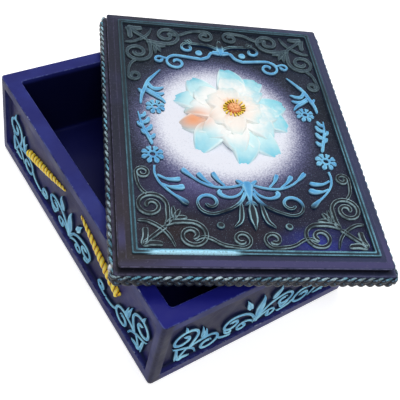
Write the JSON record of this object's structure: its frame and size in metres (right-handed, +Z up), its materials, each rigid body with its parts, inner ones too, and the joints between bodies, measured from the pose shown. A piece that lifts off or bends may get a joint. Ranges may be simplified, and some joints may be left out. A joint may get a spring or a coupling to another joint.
{
  "type": "tarot box",
  "caption": "Rectangular lidded box for a card deck, with scrollwork panels, twisted spires, a braided lid edge and a blossom relief, its lid laid askew.",
  "frame": {"origin": "centre of the underside of the felt, on the surface that the box stands on", "axes": "+Z up; +Y along the tray's long side, away from the front panel; +X to the right seen from the front. At rest the lid lies askew on the rim, turned 26.3 degrees clockwise seen from above"},
  "size_m": [0.1718, 0.191, 0.0667],
  "materials": {
    "navy_resin": "cold-cast resin, satin navy paint worn pale along the edges",
    "plum_resin": "cold-cast resin, satin plum-slate paint",
    "black_felt": "short black felt",
    "sky_paint": "sky blue paint on resin relief, darker in the hollows",
    "slate_paint": "dark slate paint dry-brushed with pale cyan",
    "gold_paint": "bright gold paint on resin, ochre in the grooves",
    "white_paint": "white airbrushed paint on resin relief",
    "cyan_paint": "cyan airbrushed paint on resin relief",
    "peach_paint": "peach airbrushed paint on resin relief"
  },
  "bodies": {
    "tray": {"back_panel_centre_scroll": "sky_paint", "back_panel_left_bud": "sky_paint", "back_panel_left_scroll": "sky_paint", "back_panel_right_bud": "sky_paint", "back_panel_right_scroll": "sky_paint", "base_felt": "black_felt", "front_panel_centre_scroll": "sky_paint", "front_panel_left_bud": "sky_paint", "front_panel_left_scroll": "sky_paint", "front_panel_right_bud": "sky_paint", "front_panel_right_scroll": "sky_paint", "left_back_spire": "gold_paint", "left_front_spire": "gold_paint", "left_panel_back_bud": "sky_paint", "left_panel_back_scroll": "sky_paint", "left_panel_centre_scroll": "sky_paint", "left_panel_front_bud": "sky_paint", "left_panel_front_scroll": "sky_paint", "right_back_spire": "gold_paint", "right_front_spire": "gold_paint", "right_panel_back_bud": "sky_paint", "right_panel_back_scroll": "sky_paint", "right_panel_centre_scroll": "sky_paint", "right_panel_front_bud": "sky_paint", "right_panel_front_scroll": "sky_paint", "tray": "navy_resin"},
    "lid": {"blossom_heart": "peach_paint", "blossom_inner_petals": "white_paint", "blossom_middle_petals": "white_paint", "blossom_outer_petals": "cyan_paint", "blossom_stamens": "gold_paint", "lid_back_centre_scroll": "sky_paint", "lid_back_left_bead": "sky_paint", "lid_back_left_rosette": "sky_paint", "lid_back_left_scroll": "slate_paint", "lid_back_right_bead": "sky_paint", "lid_back_right_rosette": "sky_paint", "lid_back_right_scroll": "slate_paint", "lid_board": "plum_resin", "lid_braid_edging": "slate_paint", "lid_frame": "slate_paint", "lid_front_centre_scroll": "sky_paint", "lid_front_left_bead": "sky_paint", "lid_front_left_rosette": "sky_paint", "lid_front_left_scroll": "slate_paint", "lid_front_right_bead": "sky_paint", "lid_front_right_rosette": "sky_paint", "lid_front_right_scroll": "slate_paint", "lid_left_leaf_chain": "sky_paint", "lid_left_lower_spray": "sky_paint", "lid_left_upper_spray": "sky_paint", "lid_right_leaf_chain": "sky_paint", "lid_right_lower_spray": "sky_paint", "lid_right_upper_spray": "sky_paint", "lid_top_panel": "plum_resin"}
  },
  "joints": [
    {"name": "lid_lift", "type": "slide", "parent": "tray", "child": "lid", "axis": [0, 0, 1], "range_m": [0, 0.08]}
  ]
}
